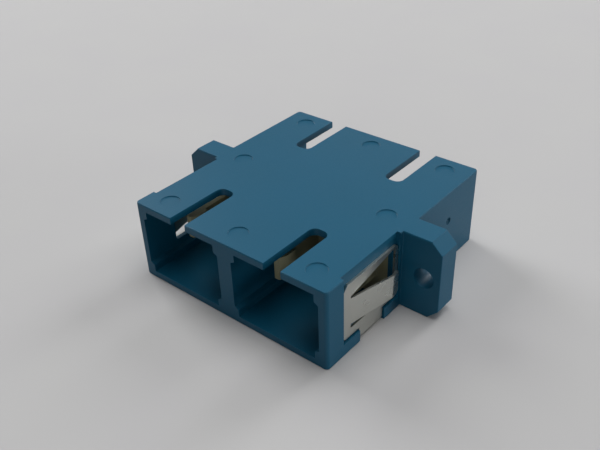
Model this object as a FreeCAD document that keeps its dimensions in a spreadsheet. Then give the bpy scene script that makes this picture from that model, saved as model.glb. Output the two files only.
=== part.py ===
"""Duplex SC fibre optic adapter with panel ears and a spring panel clip.

One moulded housing has two ports at each end. A sleeve holder with two latch hooks is pressed in
from each end of both ports, and each facing pair of holders traps one split sleeve between them.
A U-shaped clip of spring steel wraps the base and both sides ahead of the ears.

Frame: millimetres. X runs across the two ports, Y along the fibres with the clip end at -Y, Z up.
The origin is the bottom centre of the whole adapter, halfway between its two end faces.
"""
import FreeCAD, Part
import Sketcher
import math
import os
import re

# Driving dimensions: name, value in millimetres, what it measures.
SIZES = (
    # ports
    ("port_pitch", 12.7, "between the two fibre axes"),
    ("port_width", 10.85, "inside width of a port"),
    ("port_height", 7.7, "inside height of a port"),
    ("rail_width", 0.5, "corner rail, along X"),
    ("rail_height", 1.1, "corner rail at the wall, along Z"),
    ("rail_slope", 0.25, "drop of the rail's sloping end face"),
    # housing walls
    ("side_wall", 1.0, "outer wall beside a port"),
    ("deck_wall", 0.8, "wall above the ports"),
    ("floor_wall", 0.8, "wall below the ports"),
    ("body_length", 27.3, "between the two end faces"),
    ("bulkhead_thickness", 1.6, "wall between the front and rear ports"),
    ("bulkhead_bore", 4.9, "diameter of the hole in the bulkhead"),
    ("corner_round", 0.4, "radius of the upright corners"),
    ("edge_round", 0.08, "radius of every other outer edge"),
    # ears
    ("ear_reach", 4.475, "from the housing's side to the ear's end"),
    ("ear_thickness", 2.8, "along Y, centred on the body"),
    ("ear_chamfer", 1.2, "on the ears' outer corners"),
    ("screw_inset", 1.9, "from the ear's end to the middle of the screw hole"),
    ("screw_hole", 2.3, "diameter of a screw hole"),
    # key slots
    ("key_width", 2.15, "slot for a plug's key"),
    ("key_depth", 7.58, "slot length from the end face"),
    ("key_round", 0.8, "radius in the slot's inner corners"),
    # seat of the clip
    ("seat_depth", 0.45, "pocket in each side wall"),
    ("seat_front", 2.55, "from the front face to the pocket"),
    ("seat_rear", 0.4, "from the pocket to the ear"),
    ("seat_ledge", 1.4, "height of the ledge under the pocket"),
    ("room_front", 1.4, "from the seat's front to the opening behind the tongue"),
    ("room_rear", 0.6, "from that opening to the seat's rear"),
    ("room_rise", 1.2, "from the ledge to that opening"),
    ("room_height", 4.7, "height of that opening"),
    ("room_round", 0.4, "radius of that opening's corners"),
    ("groove_depth", 0.3, "groove across the base for the strap"),
    ("groove_play", 0.1, "between strap and groove, each side"),
    # marks left by the mould
    ("pin_mark", 2.2, "diameter of an ejector pin mark"),
    ("pin_mark_depth", 0.05, "depth of an ejector pin mark"),
    ("pin_mark_inset", 2.9, "outer marks, from the housing's sides"),
    ("pin_mark_end", 2.3, "end marks, from the end face"),
    ("gate_mark", 0.9, "diameter of the gate mark"),
    ("gate_mark_depth", 0.1, "depth of the gate mark"),
    ("gate_mark_end", 5.95, "gate mark, from the rear face"),
    ("gate_mark_rise", 5.6, "gate mark, from the base"),
    # spring clip
    ("sheet", 0.25, "thickness of the sheet steel"),
    ("strap_width", 3.98, "strap under the base, along Y"),
    ("strap_front", 5.32, "from the front face to the strap"),
    ("strap_bend", 0.2, "inside radius where the strap turns up"),
    ("wing_play", 0.06, "between a wing and its pocket's ends"),
    ("wing_lift", 0.2, "from the ledge to the wing's lower edge"),
    ("wing_height", 6.45, "height of a wing"),
    ("wing_round", 0.65, "radius of a wing's corners"),
    ("wing_cut_run", 0.75, "cut corner at the wing's top front, along Y"),
    ("wing_cut_drop", 0.85, "cut corner at the wing's top front, along Z"),
    ("tongue_inset", 1.3, "from the wing's front edge to the fold"),
    ("tongue_height", 3.1, "tongue, along Z"),
    ("tongue_drop", 3.45, "from the wing's top to the tongue's middle"),
    ("tongue_flare", 1.15, "how far the bend stands out"),
    ("tongue_taper", 0.25, "narrowing of the tongue at its free end, each side"),
    ("tongue_round", 0.3, "radius of the tongue's free corners"),
    ("lip_run", 1.1, "from the bend to the free end, along Y"),
    ("tongue_end", 0.68, "from the free end to the window's rear edge"),
    ("lip_drop", 0.25, "how far the lip leans back in"),
    ("lip_bend", 0.8, "inside radius of the bend"),
    ("window_corner", 0.28, "gap above the tongue at the fold"),
    ("cut_width", 0.52, "cut under the tongue"),
    ("window_rise", 1.4, "rise of the window's top edge to the rear"),
    ("rear_strip", 0.5, "strip of sheet behind the window"),
    # sleeve holders
    ("plate_thickness", 1.5, "holder's plate"),
    ("plate_play", 0.05, "between plate and port, all round"),
    ("spigot_play", 0.05, "between spigot and bulkhead bore, radial"),
    ("spigot_gap", 0.05, "from the spigot's end to the mid plane"),
    ("tube_outer", 4.6, "outside diameter of the sleeve tube"),
    ("tube_chamfer", 0.3, "on the tube's front rim"),
    ("lip_thickness", 0.45, "rim that keeps the sleeve in"),
    ("lip_bore", 2.9, "diameter of the hole in that rim"),
    ("arm_gap", 6.9, "between the inner faces of the two arms"),
    ("arm_thickness", 0.6, "latch arm, along X"),
    ("arm_height", 2.75, "latch arm, along Z"),
    ("arm_reach", 8.93, "from the mid plane to the arm's tip"),
    ("arm_root_round", 0.25, "radius where an arm meets the plate"),
    ("barb_height", 0.42, "barb on the arm's inner face"),
    ("barb_length", 2.2, "barb, from the arm's tip"),
    ("barb_lead", 0.9, "sloping front of the barb"),
    # split sleeves
    ("sleeve_inner", 2.5, "inside diameter"),
    ("sleeve_outer", 3.2, "outside diameter"),
    ("sleeve_length", 11.4, "along the fibre"),
    ("sleeve_slit", 0.5, "width of the slit"),
    ("sleeve_chamfer", 0.12, "on the inner rims"),
    ("sleeve_play", 0.05, "between sleeve and holder, radial and at each end"),
)

# Dimensions that follow from the driving ones, as expressions on the sheet.
BODY_WIDTH = "(port_pitch + port_width + 2 * side_wall)"
BODY_HEIGHT = "(floor_wall + port_height + deck_wall)"
AXIS_HEIGHT = "(floor_wall + port_height / 2)"
EAR_END = "(%s / 2 + ear_reach)" % BODY_WIDTH
FRONT = "(-body_length / 2)"
KEY_END = "(body_length / 2 - key_depth)"
SEAT_WALL = "(%s / 2 - seat_depth)" % BODY_WIDTH
SEAT_FRONT = "(%s + seat_front)" % FRONT
SEAT_REAR = "(-ear_thickness / 2 - seat_rear)"
STRAP_FRONT = "(%s + strap_front)" % FRONT
STRAP_REAR = "(%s + strap_width)" % STRAP_FRONT
WING_FRONT = "(%s + wing_play)" % SEAT_FRONT
WING_REAR = "(%s - wing_play)" % SEAT_REAR
WING_BASE = "(seat_ledge + wing_lift)"
WING_TOP = "(%s + wing_height)" % WING_BASE
TONGUE_FOLD = "(%s + tongue_inset)" % WING_FRONT
TONGUE_MIDDLE = "(%s - tongue_drop)" % WING_TOP
PLATE_FRONT = "(bulkhead_thickness / 2 + plate_thickness)"
SLEEVE_STOP = "(sleeve_length / 2 + sleeve_play)"
TUBE_REACH = "(%s + lip_thickness)" % SLEEVE_STOP

TOLERANCE = 1e-4

doc = FreeCAD.newDocument("duplex_adapter")
sheet = doc.addObject("Spreadsheet::Sheet", "Sizes")
probe = doc.addObject("App::VarSet", "Probe")
probe.addProperty("App::PropertyFloat", "Reading")


def fill_sheet():
    for row, (name, value, note) in enumerate(SIZES, start=1):
        sheet.set("A%d" % row, name)
        sheet.set("B%d" % row, str(value))
        sheet.set("C%d" % row, note)
        sheet.setAlias("B%d" % row, name)
    doc.recompute()


def linked(text):
    """The same expression with every size read from the sheet."""
    return re.sub(r"[a-z_]{3,}", r"Sizes.\g<0>", text)


def value(text):
    """What an expression comes to with the sheet as it stands."""
    probe.setExpression("Reading", linked(text))
    probe.recompute()
    return probe.Reading


# ---------------------------------------------------------------- sketches and features

def new_body(name):
    body = doc.addObject("PartDesign::Body", name)
    body.Label = name
    return body


def plane(body, role):
    return [item for item in body.Origin.OriginFeatures if item.Role == role][0]


def new_sketch(body, name, role, lift=None):
    """Sketch on an origin plane, lifted along the plane's own normal."""
    sketch = body.newObject("Sketcher::SketchObject", name)
    sketch.AttachmentSupport = (plane(body, role), [""])
    sketch.MapMode = "FlatFace"
    if lift is not None:
        sketch.setExpression(".AttachmentOffset.Base.z", linked(lift))
    return sketch


def pin_point(sketch, curve, point, across, up):
    """Tie one point of a sketch to the sketch's origin."""
    for kind, text in (("DistanceX", across), ("DistanceY", up)):
        index = sketch.addConstraint(Sketcher.Constraint(kind, -1, 1, curve, point, value(text)))
        sketch.setExpression("Constraints[%d]" % index, linked(text))


def add_outline(sketch, corners):
    """Closed outline through the corners, each given as two expressions."""
    points = [FreeCAD.Vector(value(across), value(up), 0) for across, up in corners]
    lines = []
    for start, end in zip(points, points[1:] + points[:1]):
        lines.append(sketch.addGeometry(Part.LineSegment(start, end), False))
    for first, second in zip(lines, lines[1:] + lines[:1]):
        sketch.addConstraint(Sketcher.Constraint("Coincident", first, 2, second, 1))
    for line, (across, up) in zip(lines, corners):
        pin_point(sketch, line, 1, across, up)


def add_circle(sketch, across, up, diameter):
    centre = FreeCAD.Vector(value(across), value(up), 0)
    circle = sketch.addGeometry(Part.Circle(centre, FreeCAD.Vector(0, 0, 1), value(diameter) / 2), False)
    pin_point(sketch, circle, 3, across, up)
    index = sketch.addConstraint(Sketcher.Constraint("Diameter", circle, value(diameter)))
    sketch.setExpression("Constraints[%d]" % index, linked(diameter))


def rectangle(left, right, low, high):
    return ((left, low), (right, low), (right, high), (left, high))


def add_feature(body, kind, name, sketch, length, side="One side", backwards=False):
    """Pad along the sketch's normal, or pocket against it; backwards turns either round."""
    feature = body.newObject("PartDesign::" + kind, name)
    feature.Profile = sketch
    feature.SideType = side
    feature.Reversed = backwards
    if length is None:
        feature.Type = "ThroughAll"
    else:
        feature.setExpression("Length", linked(length))
    sketch.Visibility = False
    doc.recompute()
    return feature


def mirror(body, name, features, role):
    feature = body.newObject("PartDesign::Mirrored", name)
    feature.Originals = features
    feature.MirrorPlane = (plane(body, role), [""])
    body.Tip = feature
    doc.recompute()
    return feature


def runs_along(edge, axis):
    """True for an edge whose box has a length on that axis alone."""
    box = edge.BoundBox
    lengths = {"X": box.XLength, "Y": box.YLength, "Z": box.ZLength}
    return all((length > TOLERANCE) == (name == axis) for name, length in lengths.items())


def edges_where(shape, axis, test):
    """Names of the edges along an axis (or of any, for None) whose every vertex passes the test."""
    names = []
    for number, edge in enumerate(shape.Edges, start=1):
        if axis is not None and not runs_along(edge, axis):
            continue
        if all(test(vertex.Point) for vertex in edge.Vertexes):
            names.append("Edge%d" % number)
    if not names:
        raise RuntimeError("no edge passes the test")
    return names


def round_edges(body, name, radius, axis, test, kind="Fillet", size="Radius"):
    base = body.Tip
    feature = body.newObject("PartDesign::" + kind, name)
    feature.Base = (base, edges_where(base.Shape, axis, test))
    feature.setExpression(size, linked(radius))
    doc.recompute()
    return feature


def near(first, second):
    return abs(first - second) < TOLERANCE


# ---------------------------------------------------------------- outlines shared by two pieces

def port_outline(centre_x, centre_z, play):
    """Section of a port: a rectangle with a sloping rail in each corner, inset by the play."""
    corners = []
    for across, up in ((-1, -1), (1, -1), (1, 1), (-1, 1)):
        wall = "%s + %d * (port_width / 2 - %s)" % (centre_x, across, play)
        rail = "%s + %d * (port_width / 2 - %s - rail_width)" % (centre_x, across, play)
        skin = "%s + %d * (port_height / 2 - %s)" % (centre_z, up, play)
        end = "%s + %d * (port_height / 2 - %s - rail_height)" % (centre_z, up, play)
        tip = "%s + %d * (port_height / 2 - %s - rail_height + rail_slope)" % (centre_z, up, play)
        corner = [(wall, end), (rail, tip), (rail, skin)]
        corners += corner if across == up else corner[::-1]
    return corners


# ---------------------------------------------------------------- housing

def make_housing():
    """One moulding of blue PBT: box, ears, four ports, bulkhead, key slots and the clip's seat."""
    body = new_body("housing")
    half_width = BODY_WIDTH + " / 2"

    sketch = new_sketch(body, "block_outline", "XY_Plane")
    add_outline(sketch, rectangle("-" + half_width, half_width, FRONT, "-1 * " + FRONT))
    add_feature(body, "Pad", "block", sketch, BODY_HEIGHT)

    sketch = new_sketch(body, "ear_outline", "XZ_Plane")
    corners = []
    for across, up in ((-1, 0), (1, 0), (1, 1), (-1, 1)):
        end = "%d * %s" % (across, EAR_END)
        shoulder = "%d * (%s - ear_chamfer)" % (across, EAR_END)
        skin = "%d * %s" % (up, BODY_HEIGHT)
        corner = "%s + %d * ear_chamfer" % (skin, 1 - 2 * up)
        pair = [(end, corner), (shoulder, skin)]
        corners += pair if (across < 0) == (up == 0) else pair[::-1]
    add_outline(sketch, corners)
    add_feature(body, "Pad", "ears", sketch, "ear_thickness", side="Symmetric")

    width, front = value(half_width), value(FRONT)
    round_edges(body, "upright_corners", "corner_round", "Z",
                lambda p: near(abs(p.x), width) and near(abs(p.y), -front))
    round_edges(body, "outer_edges", "edge_round", None, lambda p: True)

    sketch = new_sketch(body, "port_sections", "XZ_Plane", lift="bulkhead_thickness / 2")
    for side in (-1, 1):
        add_outline(sketch, port_outline("%d * port_pitch / 2" % side, AXIS_HEIGHT, "0"))
    ports = add_feature(body, "Pocket", "front_ports", sketch, None, backwards=True)
    mirror(body, "rear_ports", [ports], "XZ_Plane")

    sketch = new_sketch(body, "bulkhead_bore_circles", "XZ_Plane")
    for side in (-1, 1):
        add_circle(sketch, "%d * port_pitch / 2" % side, AXIS_HEIGHT, "bulkhead_bore")
    add_feature(body, "Pocket", "bulkhead_bores", sketch, "2 * bulkhead_thickness", side="Symmetric")

    sketch = new_sketch(body, "key_slot_outlines", "XY_Plane", lift=BODY_HEIGHT)
    for side in (-1, 1):
        middle = "%d * port_pitch / 2" % side
        add_outline(sketch, rectangle(middle + " - key_width / 2", middle + " + key_width / 2",
                                      FRONT + " - corner_round", "-" + KEY_END))
    slots = add_feature(body, "Pocket", "front_key_slots", sketch, "deck_wall + port_height / 2")
    mirror(body, "rear_key_slots", [slots], "XZ_Plane")
    end, deck = value(KEY_END), value(BODY_HEIGHT + " - deck_wall")
    round_edges(body, "key_slot_corners", "key_round", "Z",
                lambda p: near(abs(p.y), end) and p.z > deck - TOLERANCE)

    sketch = new_sketch(body, "seat_outline", "YZ_Plane", lift=half_width)
    add_outline(sketch, (
        (SEAT_FRONT, "seat_ledge"),
        (STRAP_FRONT + " - groove_play", "seat_ledge"),
        (STRAP_FRONT + " - groove_play", "-groove_depth"),
        (STRAP_REAR + " + groove_play", "-groove_depth"),
        (STRAP_REAR + " + groove_play", "seat_ledge"),
        (SEAT_REAR, "seat_ledge"),
        (SEAT_REAR, BODY_HEIGHT + " + deck_wall"),
        (SEAT_FRONT, BODY_HEIGHT + " + deck_wall")))
    seat = add_feature(body, "Pocket", "right_seat", sketch, "seat_depth")
    sketch = new_sketch(body, "room_outline", "YZ_Plane", lift=half_width)
    room_sides = (SEAT_FRONT + " + room_front", SEAT_REAR + " - room_rear",
                  "seat_ledge + room_rise", "seat_ledge + room_rise + room_height")
    add_outline(sketch, rectangle(*room_sides))
    room = add_feature(body, "Pocket", "right_tongue_room", sketch, "side_wall")
    mirror(body, "left_seat", [seat, room], "YZ_Plane")
    fore, aft, sill, lintel = [value(text) for text in room_sides]
    round_edges(body, "tongue_room_corners", "room_round", "X",
                lambda p: (near(p.y, fore) or near(p.y, aft)) and (near(p.z, sill) or near(p.z, lintel)))

    sketch = new_sketch(body, "groove_outline", "XY_Plane")
    add_outline(sketch, rectangle("-" + half_width, half_width,
                                  STRAP_FRONT + " - groove_play", STRAP_REAR + " + groove_play"))
    add_feature(body, "Pocket", "strap_groove", sketch, "groove_depth", backwards=True)
    seat_wall, roof = value(SEAT_WALL), value("groove_depth")
    round_edges(body, "groove_corners", "strap_bend + wing_play", "Y",
                lambda p: near(abs(p.x), seat_wall) and near(p.z, roof))

    sketch = new_sketch(body, "screw_hole_circles", "XZ_Plane")
    for side in (-1, 1):
        add_circle(sketch, "%d * (%s - screw_inset)" % (side, EAR_END), BODY_HEIGHT + " / 2", "screw_hole")
    add_feature(body, "Pocket", "screw_holes", sketch, "2 * ear_thickness", side="Symmetric")

    sketch = new_sketch(body, "pin_mark_circles", "XY_Plane", lift=BODY_HEIGHT)
    column = "(%s - pin_mark_inset)" % half_width
    row = "(body_length / 2 - pin_mark_end)"
    for across, along in ((-1, -1), (0, -1), (1, -1), (-1, 0), (1, 0), (-1, 1), (0, 1), (1, 1)):
        add_circle(sketch, "%d * %s" % (across, column), "%d * %s" % (along, row), "pin_mark")
    add_feature(body, "Pocket", "pin_marks", sketch, "pin_mark_depth")

    sketch = new_sketch(body, "gate_mark_circle", "YZ_Plane", lift=half_width)
    add_circle(sketch, "body_length / 2 - gate_mark_end", "gate_mark_rise", "gate_mark")
    add_feature(body, "Pocket", "gate_scar", sketch, "gate_mark_depth")
    return body


# ---------------------------------------------------------------- spring clip

def make_panel_clip():
    """Stamped and folded stainless sheet: a strap under the base and a sprung wing on each side."""
    body = new_body("panel_clip")
    outer = "(%s + sheet)" % SEAT_WALL
    strap_middle = "(%s + strap_width / 2)" % STRAP_FRONT

    sketch = new_sketch(body, "strap_section", "XZ_Plane", lift="-1 * " + strap_middle)
    add_outline(sketch, (
        ("0", "groove_depth - sheet"),
        (outer, "groove_depth - sheet"),
        (outer, WING_BASE + " + wing_round"),
        (SEAT_WALL, WING_BASE + " + wing_round"),
        (SEAT_WALL, "groove_depth"),
        ("0", "groove_depth")))
    add_feature(body, "Pad", "strap", sketch, "strap_width", side="Symmetric")
    wall, skin = value(SEAT_WALL), value(outer)
    roof, under = value("groove_depth"), value("groove_depth - sheet")
    round_edges(body, "strap_bend_inside", "strap_bend", "Y",
                lambda p: near(p.x, wall) and near(p.z, roof))
    round_edges(body, "strap_bend_outside", "strap_bend + sheet", "Y",
                lambda p: near(p.x, skin) and near(p.z, under))

    sketch = new_sketch(body, "wing_outline", "YZ_Plane", lift=SEAT_WALL)
    add_outline(sketch, (
        (WING_FRONT, WING_BASE),
        (WING_REAR, WING_BASE),
        (WING_REAR, WING_TOP),
        (WING_FRONT + " + wing_cut_run", WING_TOP),
        (WING_FRONT, WING_TOP + " - wing_cut_drop")))
    add_feature(body, "Pad", "wing", sketch, "sheet")
    front, rear, low = value(WING_FRONT), value(WING_REAR), value(WING_BASE)
    round_edges(body, "wing_corners", "wing_round", "X",
                lambda p: near(p.y, rear) or (near(p.y, front) and near(p.z, low)))

    sketch = new_sketch(body, "window_outline", "YZ_Plane", lift=SEAT_WALL)
    window_rear = WING_REAR + " - rear_strip"
    window_top = TONGUE_MIDDLE + " + tongue_height / 2 + window_corner"
    window_low = TONGUE_MIDDLE + " - tongue_height / 2 - cut_width"
    add_outline(sketch, (
        (TONGUE_FOLD, window_low),
        (window_rear, window_low),
        (window_rear, window_top + " + window_rise"),
        (TONGUE_FOLD, window_top)))
    add_feature(body, "Pocket", "window", sketch, "sheet", backwards=True)
    fold = value(TONGUE_FOLD)
    round_edges(body, "window_corners", "window_corner / 2", "X", lambda p: near(p.y, fold))

    sketch = new_sketch(body, "tongue_section", "XY_Plane", lift=TONGUE_MIDDLE)
    tip = window_rear + " - tongue_end"
    bend = tip + " - lip_run"
    add_outline(sketch, (
        (SEAT_WALL, TONGUE_FOLD + " - sheet"),
        (outer, TONGUE_FOLD + " - sheet"),
        (outer, TONGUE_FOLD),
        (outer + " + tongue_flare", bend),
        (outer + " + tongue_flare - lip_drop", tip),
        (SEAT_WALL + " + tongue_flare - lip_drop", tip),
        (SEAT_WALL + " + tongue_flare", bend),
        (SEAT_WALL, TONGUE_FOLD)))
    add_feature(body, "Pad", "tongue", sketch, "tongue_height", side="Symmetric")
    bend_y, tip_y = value(bend), value(tip)
    inner_x, outer_x = value(SEAT_WALL + " + tongue_flare"), value(outer + " + tongue_flare")
    round_edges(body, "lip_bend_inside", "lip_bend", "Z",
                lambda p: near(p.y, bend_y) and near(p.x, inner_x))
    round_edges(body, "lip_bend_outside", "lip_bend + sheet", "Z",
                lambda p: near(p.y, bend_y) and near(p.x, outer_x))

    sketch = new_sketch(body, "tongue_taper_outline", "YZ_Plane", lift=SEAT_WALL)
    for up in (1, -1):
        edge = "%s + %d * tongue_height / 2" % (TONGUE_MIDDLE, up)
        narrowed = "%s - %d * tongue_taper" % (edge, up)
        add_outline(sketch, ((TONGUE_FOLD, edge), (tip, narrowed), (tip, edge)))
    add_feature(body, "Pocket", "tongue_sides", sketch, None, backwards=True)
    middle, half = value(TONGUE_MIDDLE), value("tongue_height / 2 - tongue_taper")
    round_edges(body, "tongue_corners", "tongue_round", "X",
                lambda p: near(p.y, tip_y) and near(abs(p.z - middle), half))

    whole = body.newObject("PartDesign::Mirrored", "left_half")
    whole.TransformMode = "Whole shape"
    whole.MirrorPlane = (plane(body, "YZ_Plane"), [""])
    body.Tip = whole
    doc.recompute()
    return body


# ---------------------------------------------------------------- sleeve holders

def make_latch(name, side, turned):
    """One cream moulding: plate, sleeve tube, spigot and two springy latch arms, facing -Y."""
    body = new_body(name)

    sketch = new_sketch(body, name + "_plate_outline", "XZ_Plane", lift="bulkhead_thickness / 2")
    add_outline(sketch, port_outline("0", "0", "plate_play"))
    add_feature(body, "Pad", name + "_plate", sketch, "plate_thickness")

    sketch = new_sketch(body, name + "_spigot_circle", "XZ_Plane", lift="spigot_gap")
    add_circle(sketch, "0", "0", "bulkhead_bore - 2 * spigot_play")
    add_feature(body, "Pad", name + "_spigot", sketch, PLATE_FRONT + " - spigot_gap")

    sketch = new_sketch(body, name + "_tube_circle", "XZ_Plane", lift="bulkhead_thickness / 2")
    add_circle(sketch, "0", "0", "tube_outer")
    add_feature(body, "Pad", name + "_tube", sketch, TUBE_REACH + " - bulkhead_thickness / 2")
    mouth = value(TUBE_REACH)
    round_edges(body, name + "_tube_rim", "tube_chamfer", None,
                lambda p: near(p.y, -mouth), "Chamfer", "Size")

    sketch = new_sketch(body, name + "_arm_outline", "XY_Plane")
    tip = "(-arm_reach)"
    barb = "(arm_gap / 2 - barb_height)"
    root = "(-%s + plate_thickness / 2)" % PLATE_FRONT
    add_outline(sketch, (
        ("arm_gap / 2", root),
        ("arm_gap / 2", tip + " + barb_length"),
        (barb, tip + " + barb_length"),
        (barb, tip + " + barb_lead"),
        ("arm_gap / 2", tip),
        ("arm_gap / 2 + arm_thickness", tip),
        ("arm_gap / 2 + arm_thickness", root)))
    arm = add_feature(body, "Pad", name + "_right_arm", sketch, "arm_height", side="Symmetric")
    mirror(body, name + "_left_arm", [arm], "YZ_Plane")
    face, half_height = value(PLATE_FRONT), value("arm_height / 2")
    inner, outer = value("arm_gap / 2"), value("arm_gap / 2 + arm_thickness")
    round_edges(body, name + "_arm_roots", "arm_root_round", "Z",
                lambda p: near(p.y, -face) and near(abs(p.z), half_height)
                and (near(abs(p.x), inner) or near(abs(p.x), outer)))

    sketch = new_sketch(body, name + "_sleeve_bore_circle", "XZ_Plane")
    add_circle(sketch, "0", "0", "sleeve_outer + 2 * sleeve_play")
    add_feature(body, "Pocket", name + "_sleeve_bore", sketch, SLEEVE_STOP, backwards=True)

    sketch = new_sketch(body, name + "_lip_bore_circle", "XZ_Plane")
    add_circle(sketch, "0", "0", "lip_bore")
    add_feature(body, "Pocket", name + "_lip_bore", sketch, None, backwards=True)

    body.setExpression("Placement.Base.x", linked("%d * port_pitch / 2" % side))
    body.setExpression("Placement.Base.z", linked(AXIS_HEIGHT))
    if turned:
        body.Placement.Rotation = FreeCAD.Rotation(FreeCAD.Vector(0, 0, 1), 180)
    return body


# ---------------------------------------------------------------- split sleeves

def make_sleeve(name, side):
    """Zirconia tube with one slit along its whole length, floating between two holders."""
    body = new_body(name)
    sketch = new_sketch(body, name + "_ring", "XZ_Plane")
    add_circle(sketch, "0", "0", "sleeve_outer")
    add_circle(sketch, "0", "0", "sleeve_inner")
    add_feature(body, "Pad", name + "_tube", sketch, "sleeve_length", side="Symmetric")
    bore, half = value("sleeve_inner / 2"), value("sleeve_length / 2")
    round_edges(body, name + "_rims", "sleeve_chamfer", None,
                lambda p: near(math.hypot(p.x, p.z), bore) and near(abs(p.y), half), "Chamfer", "Size")

    sketch = new_sketch(body, name + "_slit_outline", "XZ_Plane")
    add_outline(sketch, rectangle("-sleeve_slit / 2", "sleeve_slit / 2", "0", "sleeve_outer"))
    add_feature(body, "Pocket", name + "_slit", sketch, "2 * sleeve_length", side="Symmetric")

    body.setExpression("Placement.Base.x", linked("%d * port_pitch / 2" % side))
    body.setExpression("Placement.Base.z", linked(AXIS_HEIGHT))
    return body


# ---------------------------------------------------------------- assembly, checks and export

def check_document(pieces):
    doc.recompute()
    for item in doc.Objects:
        if "Invalid" in item.State or "Error" in item.State:
            raise RuntimeError("%s did not compute: %s" % (item.Name, item.State))
    for piece in pieces:
        if piece.Shape.isNull() or not piece.Shape.isValid() or len(piece.Shape.Solids) != 1:
            raise RuntimeError("%s is not one valid solid" % piece.Label)


def main():
    fill_sheet()
    pieces = [make_housing(), make_panel_clip()]
    for side, hand in ((-1, "left"), (1, "right")):
        pieces.append(make_latch("latch_front_" + hand, side, False))
        pieces.append(make_latch("latch_rear_" + hand, side, True))
        pieces.append(make_sleeve("sleeve_" + hand, side))
    check_document(pieces)
    os.makedirs("parts", exist_ok=True)
    for piece in pieces:
        piece.Shape.exportStep("parts/%s.step" % piece.Label)
        box = piece.Shape.BoundBox
        print("%-20s volume %8.3f  x %6.2f..%6.2f  y %6.2f..%6.2f  z %5.2f..%5.2f" % (
            piece.Label, piece.Shape.Volume, box.XMin, box.XMax, box.YMin, box.YMax, box.ZMin, box.ZMax))


main()
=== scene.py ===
"""Duplex SC fibre adapter: a blue moulded housing, cream sleeve holders and a sprung steel clip."""
import math
import random

import bmesh
import bpy
from mathutils import Matrix, Vector


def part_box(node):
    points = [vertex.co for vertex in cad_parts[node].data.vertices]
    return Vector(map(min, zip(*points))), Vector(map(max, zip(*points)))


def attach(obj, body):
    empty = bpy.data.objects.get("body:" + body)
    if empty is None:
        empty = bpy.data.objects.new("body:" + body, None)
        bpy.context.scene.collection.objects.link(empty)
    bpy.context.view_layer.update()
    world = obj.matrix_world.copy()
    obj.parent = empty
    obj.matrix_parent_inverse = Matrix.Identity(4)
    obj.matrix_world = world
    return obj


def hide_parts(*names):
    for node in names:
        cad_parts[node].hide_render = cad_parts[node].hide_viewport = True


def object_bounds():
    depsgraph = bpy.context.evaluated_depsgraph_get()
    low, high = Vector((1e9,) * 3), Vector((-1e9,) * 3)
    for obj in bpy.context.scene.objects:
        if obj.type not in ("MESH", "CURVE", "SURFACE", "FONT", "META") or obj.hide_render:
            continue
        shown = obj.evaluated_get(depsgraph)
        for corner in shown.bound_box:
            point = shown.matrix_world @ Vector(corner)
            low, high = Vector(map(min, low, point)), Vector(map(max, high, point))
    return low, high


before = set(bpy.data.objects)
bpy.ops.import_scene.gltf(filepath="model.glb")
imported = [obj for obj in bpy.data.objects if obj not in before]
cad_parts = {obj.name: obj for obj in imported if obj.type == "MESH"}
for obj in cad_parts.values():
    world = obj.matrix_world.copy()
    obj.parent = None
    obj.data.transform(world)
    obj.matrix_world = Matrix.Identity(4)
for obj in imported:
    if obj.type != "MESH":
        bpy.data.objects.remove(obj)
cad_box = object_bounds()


# ---------------------------------------------------------------- housing
# The adapter's body is one injection moulding of blue PBT: two square ports at each end, a bulkhead
# between them and an ear on each side. Its mould was spark-eroded to a fine matt, its edges left
# the mould slightly round, and the pins that pushed it out have left round marks on its top.

MM = 0.001
WELD_GAP = 0.0005 * MM
FLAT_WITHIN = math.radians(0.3)
SHARP_OVER = math.radians(35)
MOULDED_EDGE = 0.05 * MM
EDGE_STEPS = 2
# How far the shading at a corner follows its largest face, out of 100.
LARGE_FACES_LEAD = 80


def worked_copy(node, name):
    """The node's own shape as one welded mesh with whole flat faces, ready to be finished."""
    mesh = bpy.data.meshes.new(name)
    bm = bmesh.new()
    bm.from_mesh(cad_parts[node].data)
    bmesh.ops.remove_doubles(bm, verts=bm.verts, dist=WELD_GAP)
    bmesh.ops.dissolve_limit(bm, angle_limit=FLAT_WITHIN, verts=bm.verts, edges=bm.edges)
    bm.to_mesh(mesh)
    bm.free()
    piece = bpy.data.objects.new(name, mesh)
    bpy.context.scene.collection.objects.link(piece)
    return piece


def plain_mesh(piece):
    """Turn the piece's modifiers into mesh."""
    depsgraph = bpy.context.evaluated_depsgraph_get()
    finished = bpy.data.meshes.new_from_object(piece.evaluated_get(depsgraph))
    piece.modifiers.clear()
    piece.data = finished


def round_sharp_edges(piece, radius):
    """Give every sharp edge of a moulded or stamped piece a small round, and shade it smooth."""
    for polygon in piece.data.polygons:
        polygon.use_smooth = True
    edges = piece.modifiers.new("edge_round", "BEVEL")
    edges.width = radius
    edges.segments = EDGE_STEPS
    edges.limit_method = "ANGLE"
    edges.angle_limit = SHARP_OVER
    shading = piece.modifiers.new("flat_faces_stay_flat", "WEIGHTED_NORMAL")
    shading.weight = LARGE_FACES_LEAD
    plain_mesh(piece)


def linear(hex_colour):
    """An sRGB hex colour as the linear RGBA that a shader takes."""
    channels = [int(hex_colour[i:i + 2], 16) / 255 for i in (1, 3, 5)]
    return [c / 12.92 if c <= 0.04045 else ((c + 0.055) / 1.055) ** 2.4
            for c in channels] + [1.0]


def add_node(tree, kind, settings=(), links=()):
    """Add a node, set its properties or sockets by name, and link its sockets from outputs."""
    node = tree.nodes.new(kind)
    for name, value in dict(settings).items():
        if isinstance(name, str) and hasattr(node, name):
            setattr(node, name, value)
        else:
            node.inputs[name].default_value = value
    for name, output in dict(links).items():
        tree.links.new(output, node.inputs[name])
    return node


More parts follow.
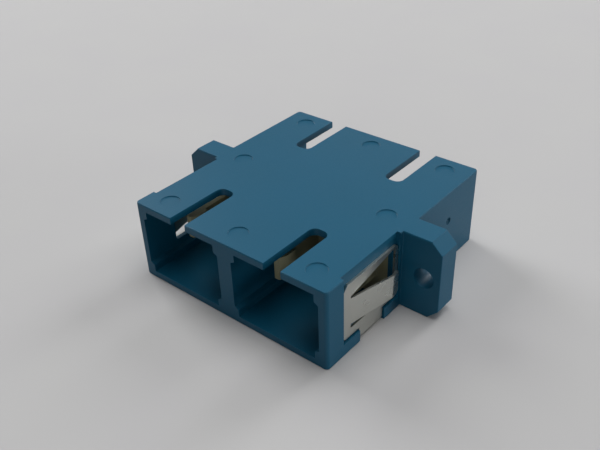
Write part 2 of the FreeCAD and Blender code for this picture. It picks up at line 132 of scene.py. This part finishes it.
def new_material(name):
    """An empty material with a Principled shader, and the object's own coordinates."""
    material = bpy.data.materials.new(name)
    material.use_nodes = True
    tree = material.node_tree
    tree.nodes.clear()
    shader = add_node(tree, "ShaderNodeBsdfPrincipled")
    add_node(tree, "ShaderNodeOutputMaterial", links={"Surface": shader.outputs["BSDF"]})
    place = add_node(tree, "ShaderNodeTexCoord").outputs["Object"]
    return material, tree, shader, place


def new_tree(name, sizes):
    """An empty geometry tree that takes a shape and one number for each size, and gives a shape."""
    tree = bpy.data.node_groups.new(name, "GeometryNodeTree")
    for side in ("INPUT", "OUTPUT"):
        tree.interface.new_socket("Geometry", in_out=side, socket_type="NodeSocketGeometry")
    for size in sizes:
        tree.interface.new_socket(size, in_out="INPUT", socket_type="NodeSocketFloat")
    return tree, add_node(tree, "NodeGroupInput").outputs


def end_tree(tree, shape, material):
    """End the tree with the given shape, whole and in one material."""
    whole = add_node(tree, "GeometryNodeRealizeInstances", links={"Geometry": shape})
    made = add_node(tree, "GeometryNodeSetMaterial", {"Material": material},
                    {"Geometry": whole.outputs[0]})
    add_node(tree, "NodeGroupOutput", links={"Geometry": made.outputs[0]})


def run_tree(piece, tree, sizes):
    """Turn the piece into what the tree makes of it at these sizes."""
    modifier = piece.modifiers.new(tree.name, "NODES")
    modifier.node_group = tree
    for socket in tree.interface.items_tree:
        if socket.in_out == "INPUT" and socket.name in sizes:
            modifier[socket.identifier] = sizes[socket.name]
    plain_mesh(piece)


# Nearly all of a noise pattern lies between these two values.
NOISE_LOW, NOISE_HIGH = 0.3, 0.7
# A Mix node has sockets for each kind of value. These are its share, and its colours in and out.
SHARE, FIRST_COLOUR, SECOND_COLOUR = 0, 6, 7
MIXED_COLOUR = 2

# PBT from a spark-eroded mould: a deep petrol blue, dull, with a sheen only where light grazes it.
# The mould's grain is fine and even. Its craters are about 0.04 mm across and are drawn coarser, so
# that they show. The melt's flow leaves slow changes of tone, and a little dust clings to the skin.
HOUSING_BLUE = "#034f6b"
HOUSING_BLUE_DEEP = "#034c66"
FLOW_PATCH = 7 * MM
MOULD_GRAIN = 0.12 * MM
MOULD_GRAIN_ROUGHNESS = 0.6
MOULD_GRAIN_DEPTH = 0.01 * MM
MOULD_GRAIN_STRENGTH = 0.15
PBT_ROUGHNESS_LOW, PBT_ROUGHNESS_HIGH = 0.42, 0.52
PBT_IOR = 1.5
PBT_SPECULAR = 0.28
DUST_GREY = "#8fa0a8"
DUST_SPACING = 2.4 * MM
DUST_SPECK = 0.045 * MM
DUST_RARITY = 0.6

pbt, tree, shader, place = new_material("matt_moulded_pbt_blue")
patches = add_node(tree, "ShaderNodeTexNoise", {"Scale": 1 / FLOW_PATCH}, {"Vector": place})
tone = add_node(tree, "ShaderNodeMix",
                {"data_type": "RGBA", FIRST_COLOUR: linear(HOUSING_BLUE),
                 SECOND_COLOUR: linear(HOUSING_BLUE_DEEP)},
                {SHARE: patches.outputs["Fac"]})
specks = add_node(tree, "ShaderNodeTexVoronoi", {"Scale": 1 / DUST_SPACING}, {"Vector": place})
near_speck = add_node(tree, "ShaderNodeMapRange",
                      {"From Min": DUST_SPECK / DUST_SPACING, "From Max": 0.0},
                      {"Value": specks.outputs["Distance"]})
dusty = add_node(tree, "ShaderNodeMath", {"operation": "GREATER_THAN", 1: DUST_RARITY},
                 {0: specks.outputs["Color"]})
dust = add_node(tree, "ShaderNodeMath", {"operation": "MULTIPLY"},
                {0: near_speck.outputs["Result"], 1: dusty.outputs["Value"]})
skin = add_node(tree, "ShaderNodeMix", {"data_type": "RGBA", SECOND_COLOUR: linear(DUST_GREY)},
                {SHARE: dust.outputs["Value"], FIRST_COLOUR: tone.outputs[MIXED_COLOUR]})
tree.links.new(skin.outputs[MIXED_COLOUR], shader.inputs["Base Color"])
grain = add_node(tree, "ShaderNodeTexNoise",
                 {"Scale": 1 / MOULD_GRAIN, "Roughness": MOULD_GRAIN_ROUGHNESS}, {"Vector": place})
gloss = add_node(tree, "ShaderNodeMapRange",
                 {"From Min": NOISE_LOW, "From Max": NOISE_HIGH,
                  "To Min": PBT_ROUGHNESS_LOW, "To Max": PBT_ROUGHNESS_HIGH},
                 {"Value": grain.outputs["Fac"]})
tree.links.new(gloss.outputs["Result"], shader.inputs["Roughness"])
bump = add_node(tree, "ShaderNodeBump",
                {"Strength": MOULD_GRAIN_STRENGTH, "Distance": MOULD_GRAIN_DEPTH},
                {"Height": grain.outputs["Fac"]})
tree.links.new(bump.outputs["Normal"], shader.inputs["Normal"])
shader.inputs["IOR"].default_value = PBT_IOR
shader.inputs["Specular IOR Level"].default_value = PBT_SPECULAR

# Each ejector pin has left a flat round print just under the skin of the top. Its floor is drawn in
# and sunk a little further, so that its rim is a small steep step that takes a thin line of shade.
MARK_FLOOR_SCALE = 0.96
MARK_SUNK = 0.06 * MM
MARK_DEEPEST = 0.2 * MM
SKIN_PLAY = 0.01 * MM
# A face lies square to an axis when its normal has more than this share along it.
FACES_ALONG = 0.999

housing = worked_copy("housing", "housing_moulding")
tree, sizes_in = new_tree("sunk_ejector_marks",
                          ["Deck Top", "Deepest Mark", "Skin Play", "Floor Scale", "Sunk"])
position = add_node(tree, "GeometryNodeInputPosition").outputs[0]
height = add_node(tree, "ShaderNodeSeparateXYZ", links={0: position}).outputs["Z"]
normal = add_node(tree, "GeometryNodeInputNormal").outputs[0]
upwards = add_node(tree, "ShaderNodeSeparateXYZ", links={0: normal}).outputs["Z"]
depth = add_node(tree, "ShaderNodeMath", {"operation": "SUBTRACT"},
                 {0: sizes_in["Deck Top"], 1: height}).outputs[0]
below_skin = add_node(tree, "FunctionNodeCompare",
                      {"data_type": "FLOAT", "operation": "GREATER_THAN"},
                      {0: depth, 1: sizes_in["Skin Play"]})
near_skin = add_node(tree, "FunctionNodeCompare",
                     {"data_type": "FLOAT", "operation": "LESS_THAN"},
                     {0: depth, 1: sizes_in["Deepest Mark"]})
level = add_node(tree, "FunctionNodeCompare",
                 {"data_type": "FLOAT", "operation": "GREATER_THAN", 1: FACES_ALONG},
                 {0: upwards})
in_mark = add_node(tree, "FunctionNodeBooleanMath", {"operation": "AND"},
                   {0: below_skin.outputs[0], 1: near_skin.outputs[0]}).outputs[0]
mark_floor = add_node(tree, "FunctionNodeBooleanMath", {"operation": "AND"},
                      {0: in_mark, 1: level.outputs[0]}).outputs[0]
drawn_in = add_node(tree, "GeometryNodeScaleElements", {"domain": "FACE"},
                    {"Geometry": sizes_in["Geometry"], "Selection": mark_floor,
                     "Scale": sizes_in["Floor Scale"]})
down = add_node(tree, "ShaderNodeMath", {"operation": "MULTIPLY", 1: -1.0}, {0: sizes_in["Sunk"]})
drop = add_node(tree, "ShaderNodeCombineXYZ", links={"Z": down.outputs[0]})
sunk = add_node(tree, "GeometryNodeSetPosition",
                links={"Geometry": drawn_in.outputs[0], "Selection": in_mark,
                       "Offset": drop.outputs[0]})
end_tree(tree, sunk.outputs[0], pbt)
run_tree(housing, tree, {"Deck Top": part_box("housing")[1].z, "Deepest Mark": MARK_DEEPEST,
                         "Skin Play": SKIN_PLAY, "Floor Scale": MARK_FLOOR_SCALE,
                         "Sunk": MARK_SUNK})
round_sharp_edges(housing, MOULDED_EDGE)

# The gate was torn off the right wall. Its relief, the smallest round face there, holds a ragged
# pit with the torn stub in its middle. Each of the scar's rings, from the outside in, is given as
# a share of the relief's radius, and how many millimetres deeper it lies than the one before.
SCAR_RINGS = ((0.85, 0.02), (0.68, 0.14), (0.5, 0.04), (0.34, -0.16), (0.15, -0.04))
SCAR_WIDEST = 0.97
SCAR_POINTS = 5
SCAR_RAGGED = 0.3
SCAR_SEED = 11
ROUND_FACE_CORNERS = 30
RING_INSET = 0.001 * MM

ragged = random.Random(SCAR_SEED)
bm = bmesh.new()
bm.from_mesh(housing.data)
scar = min((face for face in bm.faces
            if face.normal.x > FACES_ALONG and len(face.verts) > ROUND_FACE_CORNERS),
           key=lambda face: face.calc_area())
middle = scar.calc_center_median()
spokes = [(corner.co - middle).copy() for corner in scar.verts]
tears = [1 + SCAR_RAGGED * (math.cos(SCAR_POINTS * math.atan2(spoke.z, spoke.y)) / 2
                            + ragged.uniform(-0.5, 0.5))
         for spoke in spokes]
deep = 0.0
for share, step in SCAR_RINGS:
    bmesh.ops.inset_region(bm, faces=[scar], thickness=RING_INSET)
    deep += step * MM
    for corner in scar.verts:
        nearest = min(range(len(spokes)), key=lambda i: (corner.co - middle).angle(spokes[i]))
        reach = min(share * tears[nearest], SCAR_WIDEST)
        corner.co = middle + spokes[nearest] * reach + Vector((-deep, 0, 0))
bm.to_mesh(housing.data)
bm.free()
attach(housing, "root")
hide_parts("housing")


# ---------------------------------------------------------------- panel clip
# A strip of hard-rolled stainless steel, blanked, cut and folded in one tool: it wraps the base and
# both sides ahead of the ears, and a sprung tongue on each side grips the panel. It is bare metal,
# and its cut edges are barely broken.

STAMPED_EDGE = 0.03 * MM

# Bright-rolled stainless: a soft mirror. The rolls leave lines along the strip about 0.02 mm apart,
# drawn coarser so that they show. Handling and the press leave faint smears, which blur the mirror
# from place to place.
CLIP_GREY = "#c5c8c1"
CLIP_GREY_WARM = "#c4c4be"
SMEAR = 2.5 * MM
SMEAR_DETAIL = 3.0
ROLL_LINE = 0.09 * MM
ROLL_LINE_RUN = 8 * MM
ROLL_LINE_DEPTH = 0.004 * MM
ROLL_LINE_STRENGTH = 0.2
STEEL_ROUGHNESS_LOW, STEEL_ROUGHNESS_HIGH = 0.26, 0.36

stainless, tree, shader, place = new_material("hard_rolled_stainless_sheet")
smears = add_node(tree, "ShaderNodeTexNoise", {"Scale": 1 / SMEAR, "Detail": SMEAR_DETAIL},
                  {"Vector": place})
tone = add_node(tree, "ShaderNodeMix",
                {"data_type": "RGBA", FIRST_COLOUR: linear(CLIP_GREY),
                 SECOND_COLOUR: linear(CLIP_GREY_WARM)},
                {SHARE: smears.outputs["Fac"]})
tree.links.new(tone.outputs[MIXED_COLOUR], shader.inputs["Base Color"])
blur = add_node(tree, "ShaderNodeMapRange",
                {"From Min": NOISE_LOW, "From Max": NOISE_HIGH,
                 "To Min": STEEL_ROUGHNESS_LOW, "To Max": STEEL_ROUGHNESS_HIGH},
                {"Value": smears.outputs["Fac"]})
tree.links.new(blur.outputs["Result"], shader.inputs["Roughness"])
along_strip = add_node(tree, "ShaderNodeMapping",
                       {"Scale": (1 / ROLL_LINE_RUN, 1 / ROLL_LINE, 1 / ROLL_LINE_RUN)},
                       {"Vector": place})
lines = add_node(tree, "ShaderNodeTexNoise", {"Scale": 1.0}, {"Vector": along_strip.outputs[0]})
bump = add_node(tree, "ShaderNodeBump",
                {"Strength": ROLL_LINE_STRENGTH, "Distance": ROLL_LINE_DEPTH},
                {"Height": lines.outputs["Fac"]})
tree.links.new(bump.outputs["Normal"], shader.inputs["Normal"])
shader.inputs["Metallic"].default_value = 1.0

clip = worked_copy("panel_clip", "panel_clip_strip")
round_sharp_edges(clip, STAMPED_EDGE)
clip.data.materials.append(stainless)
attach(clip, "root")
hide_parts("panel_clip")


# ---------------------------------------------------------------- sleeve holders
# Four like mouldings in natural cream resin, each a plate with a tube for the split sleeve and two
# springy arms that catch the plug. They are pressed into the ports from both ends.

# Unfilled engineering resin in its own colour: a warm cream that goes slightly browner where the
# melt ran last. The mould was ground to a satin, whose scratches of about 0.03 mm are drawn coarser
# so that they show.
CREAM = "#96957b"
CREAM_BROWNER = "#8a8767"
MELT_PATCH = 2.5 * MM
SATIN_GRAIN = 0.1 * MM
SATIN_GRAIN_DEPTH = 0.01 * MM
SATIN_GRAIN_STRENGTH = 0.1
RESIN_ROUGHNESS_LOW, RESIN_ROUGHNESS_HIGH = 0.36, 0.48
RESIN_IOR = 1.55

resin, tree, shader, place = new_material("natural_moulded_resin")
melt = add_node(tree, "ShaderNodeTexNoise", {"Scale": 1 / MELT_PATCH}, {"Vector": place})
tone = add_node(tree, "ShaderNodeMix",
                {"data_type": "RGBA", FIRST_COLOUR: linear(CREAM),
                 SECOND_COLOUR: linear(CREAM_BROWNER)},
                {SHARE: melt.outputs["Fac"]})
tree.links.new(tone.outputs[MIXED_COLOUR], shader.inputs["Base Color"])
satin = add_node(tree, "ShaderNodeTexNoise", {"Scale": 1 / SATIN_GRAIN}, {"Vector": place})
gloss = add_node(tree, "ShaderNodeMapRange",
                 {"From Min": NOISE_LOW, "From Max": NOISE_HIGH,
                  "To Min": RESIN_ROUGHNESS_LOW, "To Max": RESIN_ROUGHNESS_HIGH},
                 {"Value": satin.outputs["Fac"]})
tree.links.new(gloss.outputs["Result"], shader.inputs["Roughness"])
bump = add_node(tree, "ShaderNodeBump",
                {"Strength": SATIN_GRAIN_STRENGTH, "Distance": SATIN_GRAIN_DEPTH},
                {"Height": satin.outputs["Fac"]})
tree.links.new(bump.outputs["Normal"], shader.inputs["Normal"])
shader.inputs["IOR"].default_value = RESIN_IOR

for end in ("front", "rear"):
    for hand in ("left", "right"):
        node = "latch_%s_%s" % (end, hand)
        holder = worked_copy(node, "sleeve_holder_%s_%s" % (end, hand))
        round_sharp_edges(holder, MOULDED_EDGE)
        holder.data.materials.append(resin)
        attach(holder, "root")
        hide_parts(node)


# ---------------------------------------------------------------- split sleeves
# Two zirconia tubes, ground all over, each with one slit along its length, so that it springs open
# round the two ferrules that meet in it. They float in the holders.

# Ground zirconia: an ivory white ceramic with a high gloss, crossed by the fine rings of the wheel.
# These are about 0.01 mm apart and are drawn coarser, so that they show.
ZIRCONIA_WHITE = "#eceae2"
GRINDING_RING = 0.06 * MM
GRINDING_RUN = 3 * MM
GRINDING_DEPTH = 0.003 * MM
GRINDING_STRENGTH = 0.1
ZIRCONIA_ROUGHNESS_LOW, ZIRCONIA_ROUGHNESS_HIGH = 0.18, 0.32
ZIRCONIA_IOR = 2.1

zirconia, tree, shader, place = new_material("ground_zirconia")
around = add_node(tree, "ShaderNodeMapping",
                  {"Scale": (1 / GRINDING_RUN, 1 / GRINDING_RING, 1 / GRINDING_RUN)},
                  {"Vector": place})
rings = add_node(tree, "ShaderNodeTexNoise", {"Scale": 1.0}, {"Vector": around.outputs[0]})
gloss = add_node(tree, "ShaderNodeMapRange",
                 {"From Min": NOISE_LOW, "From Max": NOISE_HIGH,
                  "To Min": ZIRCONIA_ROUGHNESS_LOW, "To Max": ZIRCONIA_ROUGHNESS_HIGH},
                 {"Value": rings.outputs["Fac"]})
tree.links.new(gloss.outputs["Result"], shader.inputs["Roughness"])
bump = add_node(tree, "ShaderNodeBump",
                {"Strength": GRINDING_STRENGTH, "Distance": GRINDING_DEPTH},
                {"Height": rings.outputs["Fac"]})
tree.links.new(bump.outputs["Normal"], shader.inputs["Normal"])
shader.inputs["Base Color"].default_value = linear(ZIRCONIA_WHITE)
shader.inputs["IOR"].default_value = ZIRCONIA_IOR

SLEEVE_WALL = 0.35 * MM
SLEEVE_RIM_ROUND = 0.06 * MM
SLEEVE_SLIT = 0.5 * MM
SLEEVE_ARC_POINTS = 97
RIM_ROUND_STEPS = 3

tree, sizes_in = new_tree("split_tube",
                          ["Wall", "Length", "Middle Radius", "Slit Angle", "Rim Round"])
first = add_node(tree, "ShaderNodeMath", {"operation": "MULTIPLY_ADD", 1: 0.5, 2: math.pi / 2},
                 {0: sizes_in["Slit Angle"]})
turn = add_node(tree, "ShaderNodeMath", {"operation": "SUBTRACT", 0: 2 * math.pi},
                {1: sizes_in["Slit Angle"]})
arc = add_node(tree, "GeometryNodeCurveArc", {"Resolution": SLEEVE_ARC_POINTS},
               {"Radius": sizes_in["Middle Radius"], "Start Angle": first.outputs[0],
                "Sweep Angle": turn.outputs[0]})
upright = add_node(tree, "GeometryNodeTransform", {"Rotation": (math.pi / 2, 0, 0)},
                   {"Geometry": arc.outputs[0]})
section = add_node(tree, "GeometryNodeCurvePrimitiveQuadrilateral",
                   links={"Width": sizes_in["Length"], "Height": sizes_in["Wall"]})
eased = add_node(tree, "GeometryNodeFilletCurve", {"mode": "POLY", "Count": RIM_ROUND_STEPS},
                 {"Curve": section.outputs[0], "Radius": sizes_in["Rim Round"]})
tube = add_node(tree, "GeometryNodeCurveToMesh", {"Fill Caps": True},
                {"Curve": upright.outputs[0], "Profile Curve": eased.outputs[0]})
end_tree(tree, tube.outputs[0], zirconia)

for hand in ("left", "right"):
    node = "sleeve_" + hand
    low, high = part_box(node)
    outer_radius = (high.x - low.x) / 2
    axis = Vector(((low.x + high.x) / 2, (low.y + high.y) / 2, low.z + outer_radius))
    name = "split_sleeve_" + hand
    sleeve = bpy.data.objects.new(name, bpy.data.meshes.new(name))
    bpy.context.scene.collection.objects.link(sleeve)
    run_tree(sleeve, tree, {"Wall": SLEEVE_WALL, "Length": high.y - low.y,
                            "Middle Radius": outer_radius - SLEEVE_WALL / 2,
                            "Slit Angle": SLEEVE_SLIT / outer_radius,
                            "Rim Round": SLEEVE_RIM_ROUND})
    sleeve.data.transform(Matrix.Translation(axis))
    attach(sleeve, "root")
    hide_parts(node)


# ---------------------------------------------------------------- floor
# A large sheet of pale grey card, on which the adapter lies on its base. It isn't part of the
# adapter.

# Uncoated card: matt, a cool grey with a faint cloudiness. The fibres of its pulp are too thin to
# show, and are drawn as a faint relief of short patches.
FLOOR_GREY = "#b8b8b7"
FLOOR_GREY_CLOUD = "#b5b4b6"
CLOUD = 14 * MM
PULP_FIBRE = 0.5 * MM
PULP_FIBRE_DETAIL = 3.0
PULP_FIBRE_DEPTH = 0.02 * MM
PULP_FIBRE_STRENGTH = 0.1
CARD_ROUGHNESS = 0.9
CARD_SPECULAR = 0.1
FLOOR_HALF = 0.7

card, tree, shader, place = new_material("pale_card")
clouds = add_node(tree, "ShaderNodeTexNoise", {"Scale": 1 / CLOUD}, {"Vector": place})
tone = add_node(tree, "ShaderNodeMix",
                {"data_type": "RGBA", FIRST_COLOUR: linear(FLOOR_GREY),
                 SECOND_COLOUR: linear(FLOOR_GREY_CLOUD)},
                {SHARE: clouds.outputs["Fac"]})
tree.links.new(tone.outputs[MIXED_COLOUR], shader.inputs["Base Color"])
fibres = add_node(tree, "ShaderNodeTexNoise",
                  {"Scale": 1 / PULP_FIBRE, "Detail": PULP_FIBRE_DETAIL}, {"Vector": place})
bump = add_node(tree, "ShaderNodeBump",
                {"Strength": PULP_FIBRE_STRENGTH, "Distance": PULP_FIBRE_DEPTH},
                {"Height": fibres.outputs["Fac"]})
tree.links.new(bump.outputs["Normal"], shader.inputs["Normal"])
shader.inputs["Roughness"].default_value = CARD_ROUGHNESS
shader.inputs["Specular IOR Level"].default_value = CARD_SPECULAR

mesh = bpy.data.meshes.new("floor")
corners = [(-FLOOR_HALF, -FLOOR_HALF, 0), (FLOOR_HALF, -FLOOR_HALF, 0),
           (FLOOR_HALF, FLOOR_HALF, 0), (-FLOOR_HALF, FLOOR_HALF, 0)]
mesh.from_pydata(corners, [], [(0, 1, 2, 3)])
floor = bpy.data.objects.new("floor", mesh)
floor.data.materials.append(card)
bpy.context.scene.collection.objects.link(floor)


# ---------------------------------------------------------------- light
# Soft boxes stand round the adapter: large ones on the left, at the back and nearly overhead, and
# weaker ones low at the back left, low on the right and in front. A plain grey backdrop, which the
# eye and the gloss see, stands all round and itself gives next to no light.

BACKDROP_GREY = "#868685"
ROOM_STRENGTH = 0.01

world = bpy.data.worlds.new("studio")
world.use_nodes = True
room = world.node_tree
room.nodes.clear()
ray = add_node(room, "ShaderNodeLightPath")
seen = add_node(room, "ShaderNodeMath", {"operation": "MAXIMUM"},
                {0: ray.outputs["Is Camera Ray"], 1: ray.outputs["Is Glossy Ray"]})
seen_or_through = add_node(room, "ShaderNodeMath", {"operation": "MAXIMUM"},
                           {0: seen.outputs[0], 1: ray.outputs["Is Transmission Ray"]})
dim = add_node(room, "ShaderNodeBackground",
               {"Color": linear("#ffffff"), "Strength": ROOM_STRENGTH})
backdrop = add_node(room, "ShaderNodeBackground", {"Color": linear(BACKDROP_GREY)})
either = add_node(room, "ShaderNodeMixShader",
                  links={0: seen_or_through.outputs[0], 1: dim.outputs[0], 2: backdrop.outputs[0]})
add_node(room, "ShaderNodeOutputWorld", links={"Surface": either.outputs[0]})
bpy.context.scene.world = world

# Each box's name, the direction in which it stands, its width and height in metres, and its watts.
BOX_DISTANCE = 1.0
SOFT_BOXES = (
    ("left_box", (-1, 0.17, 0.51), (0.45, 0.8), 7.6),
    ("back_box", (0.14, 1, 0.49), (0.3, 0.75), 5.0),
    ("low_back_box", (-0.5, 0.87, 0.12), (0.42, 0.2), 0.6),
    ("top_box", (0.07, 0.07, 1), (0.8, 0.7), 6.2),
    ("low_right_box", (0.91, 0.42, 0.12), (0.42, 0.2), 3.1),
    ("front_box", (0.45, -1, 0.35), (0.6, 0.4), 1.0),
)

for name, direction, size, watts in SOFT_BOXES:
    lamp = bpy.data.lights.new(name, "AREA")
    lamp.shape = "RECTANGLE"
    lamp.size, lamp.size_y = size
    lamp.energy = watts
    box = bpy.data.objects.new(name, lamp)
    away = Vector(direction).normalized()
    box.rotation_euler = away.to_track_quat("Z", "Y").to_euler()
    box.location = away * BOX_DISTANCE
    box.visible_camera = False
    bpy.context.scene.collection.objects.link(box)


# ---------------------------------------------------------------- camera
# The camera looks down on the adapter from its front right corner. Its lens and film are given in
# millimetres, as on a camera, and how far it sees in metres.

VIEW_AZIMUTH = math.radians(40.636)
VIEW_ELEVATION = math.radians(33.772)
VIEW_ROLL = math.radians(-2.16)
VIEW_DISTANCE = 84.02 * MM
VIEW_ASIDE = -1.265 * MM
VIEW_RAISED = -0.433 * MM
LENS_LENGTH = 45.3
FILM_WIDTH = 36.0
NEAREST_SEEN = 1 * MM
FARTHEST_SEEN = 10.0

back = Vector((math.sin(VIEW_AZIMUTH) * math.cos(VIEW_ELEVATION),
               -math.cos(VIEW_AZIMUTH) * math.cos(VIEW_ELEVATION),
               math.sin(VIEW_ELEVATION)))
right = Vector((0, 0, 1)).cross(back).normalized()
upward = back.cross(right)
turned_right = right * math.cos(VIEW_ROLL) + upward * math.sin(VIEW_ROLL)
turned_up = upward * math.cos(VIEW_ROLL) - right * math.sin(VIEW_ROLL)
middle = (Vector(cad_box[0]) + Vector(cad_box[1])) / 2
stand = middle + back * VIEW_DISTANCE + turned_right * VIEW_ASIDE + turned_up * VIEW_RAISED

camera = bpy.data.objects.new("camera", bpy.data.cameras.new("camera"))
camera.data.lens = LENS_LENGTH
camera.data.sensor_width = FILM_WIDTH
camera.data.clip_start = NEAREST_SEEN
camera.data.clip_end = FARTHEST_SEEN
facing = Matrix((turned_right, turned_up, back)).transposed().to_4x4()
camera.matrix_world = Matrix.Translation(stand) @ facing
bpy.context.scene.collection.objects.link(camera)
bpy.context.scene.camera = camera
bpy.context.scene.view_settings.view_transform = "Standard"
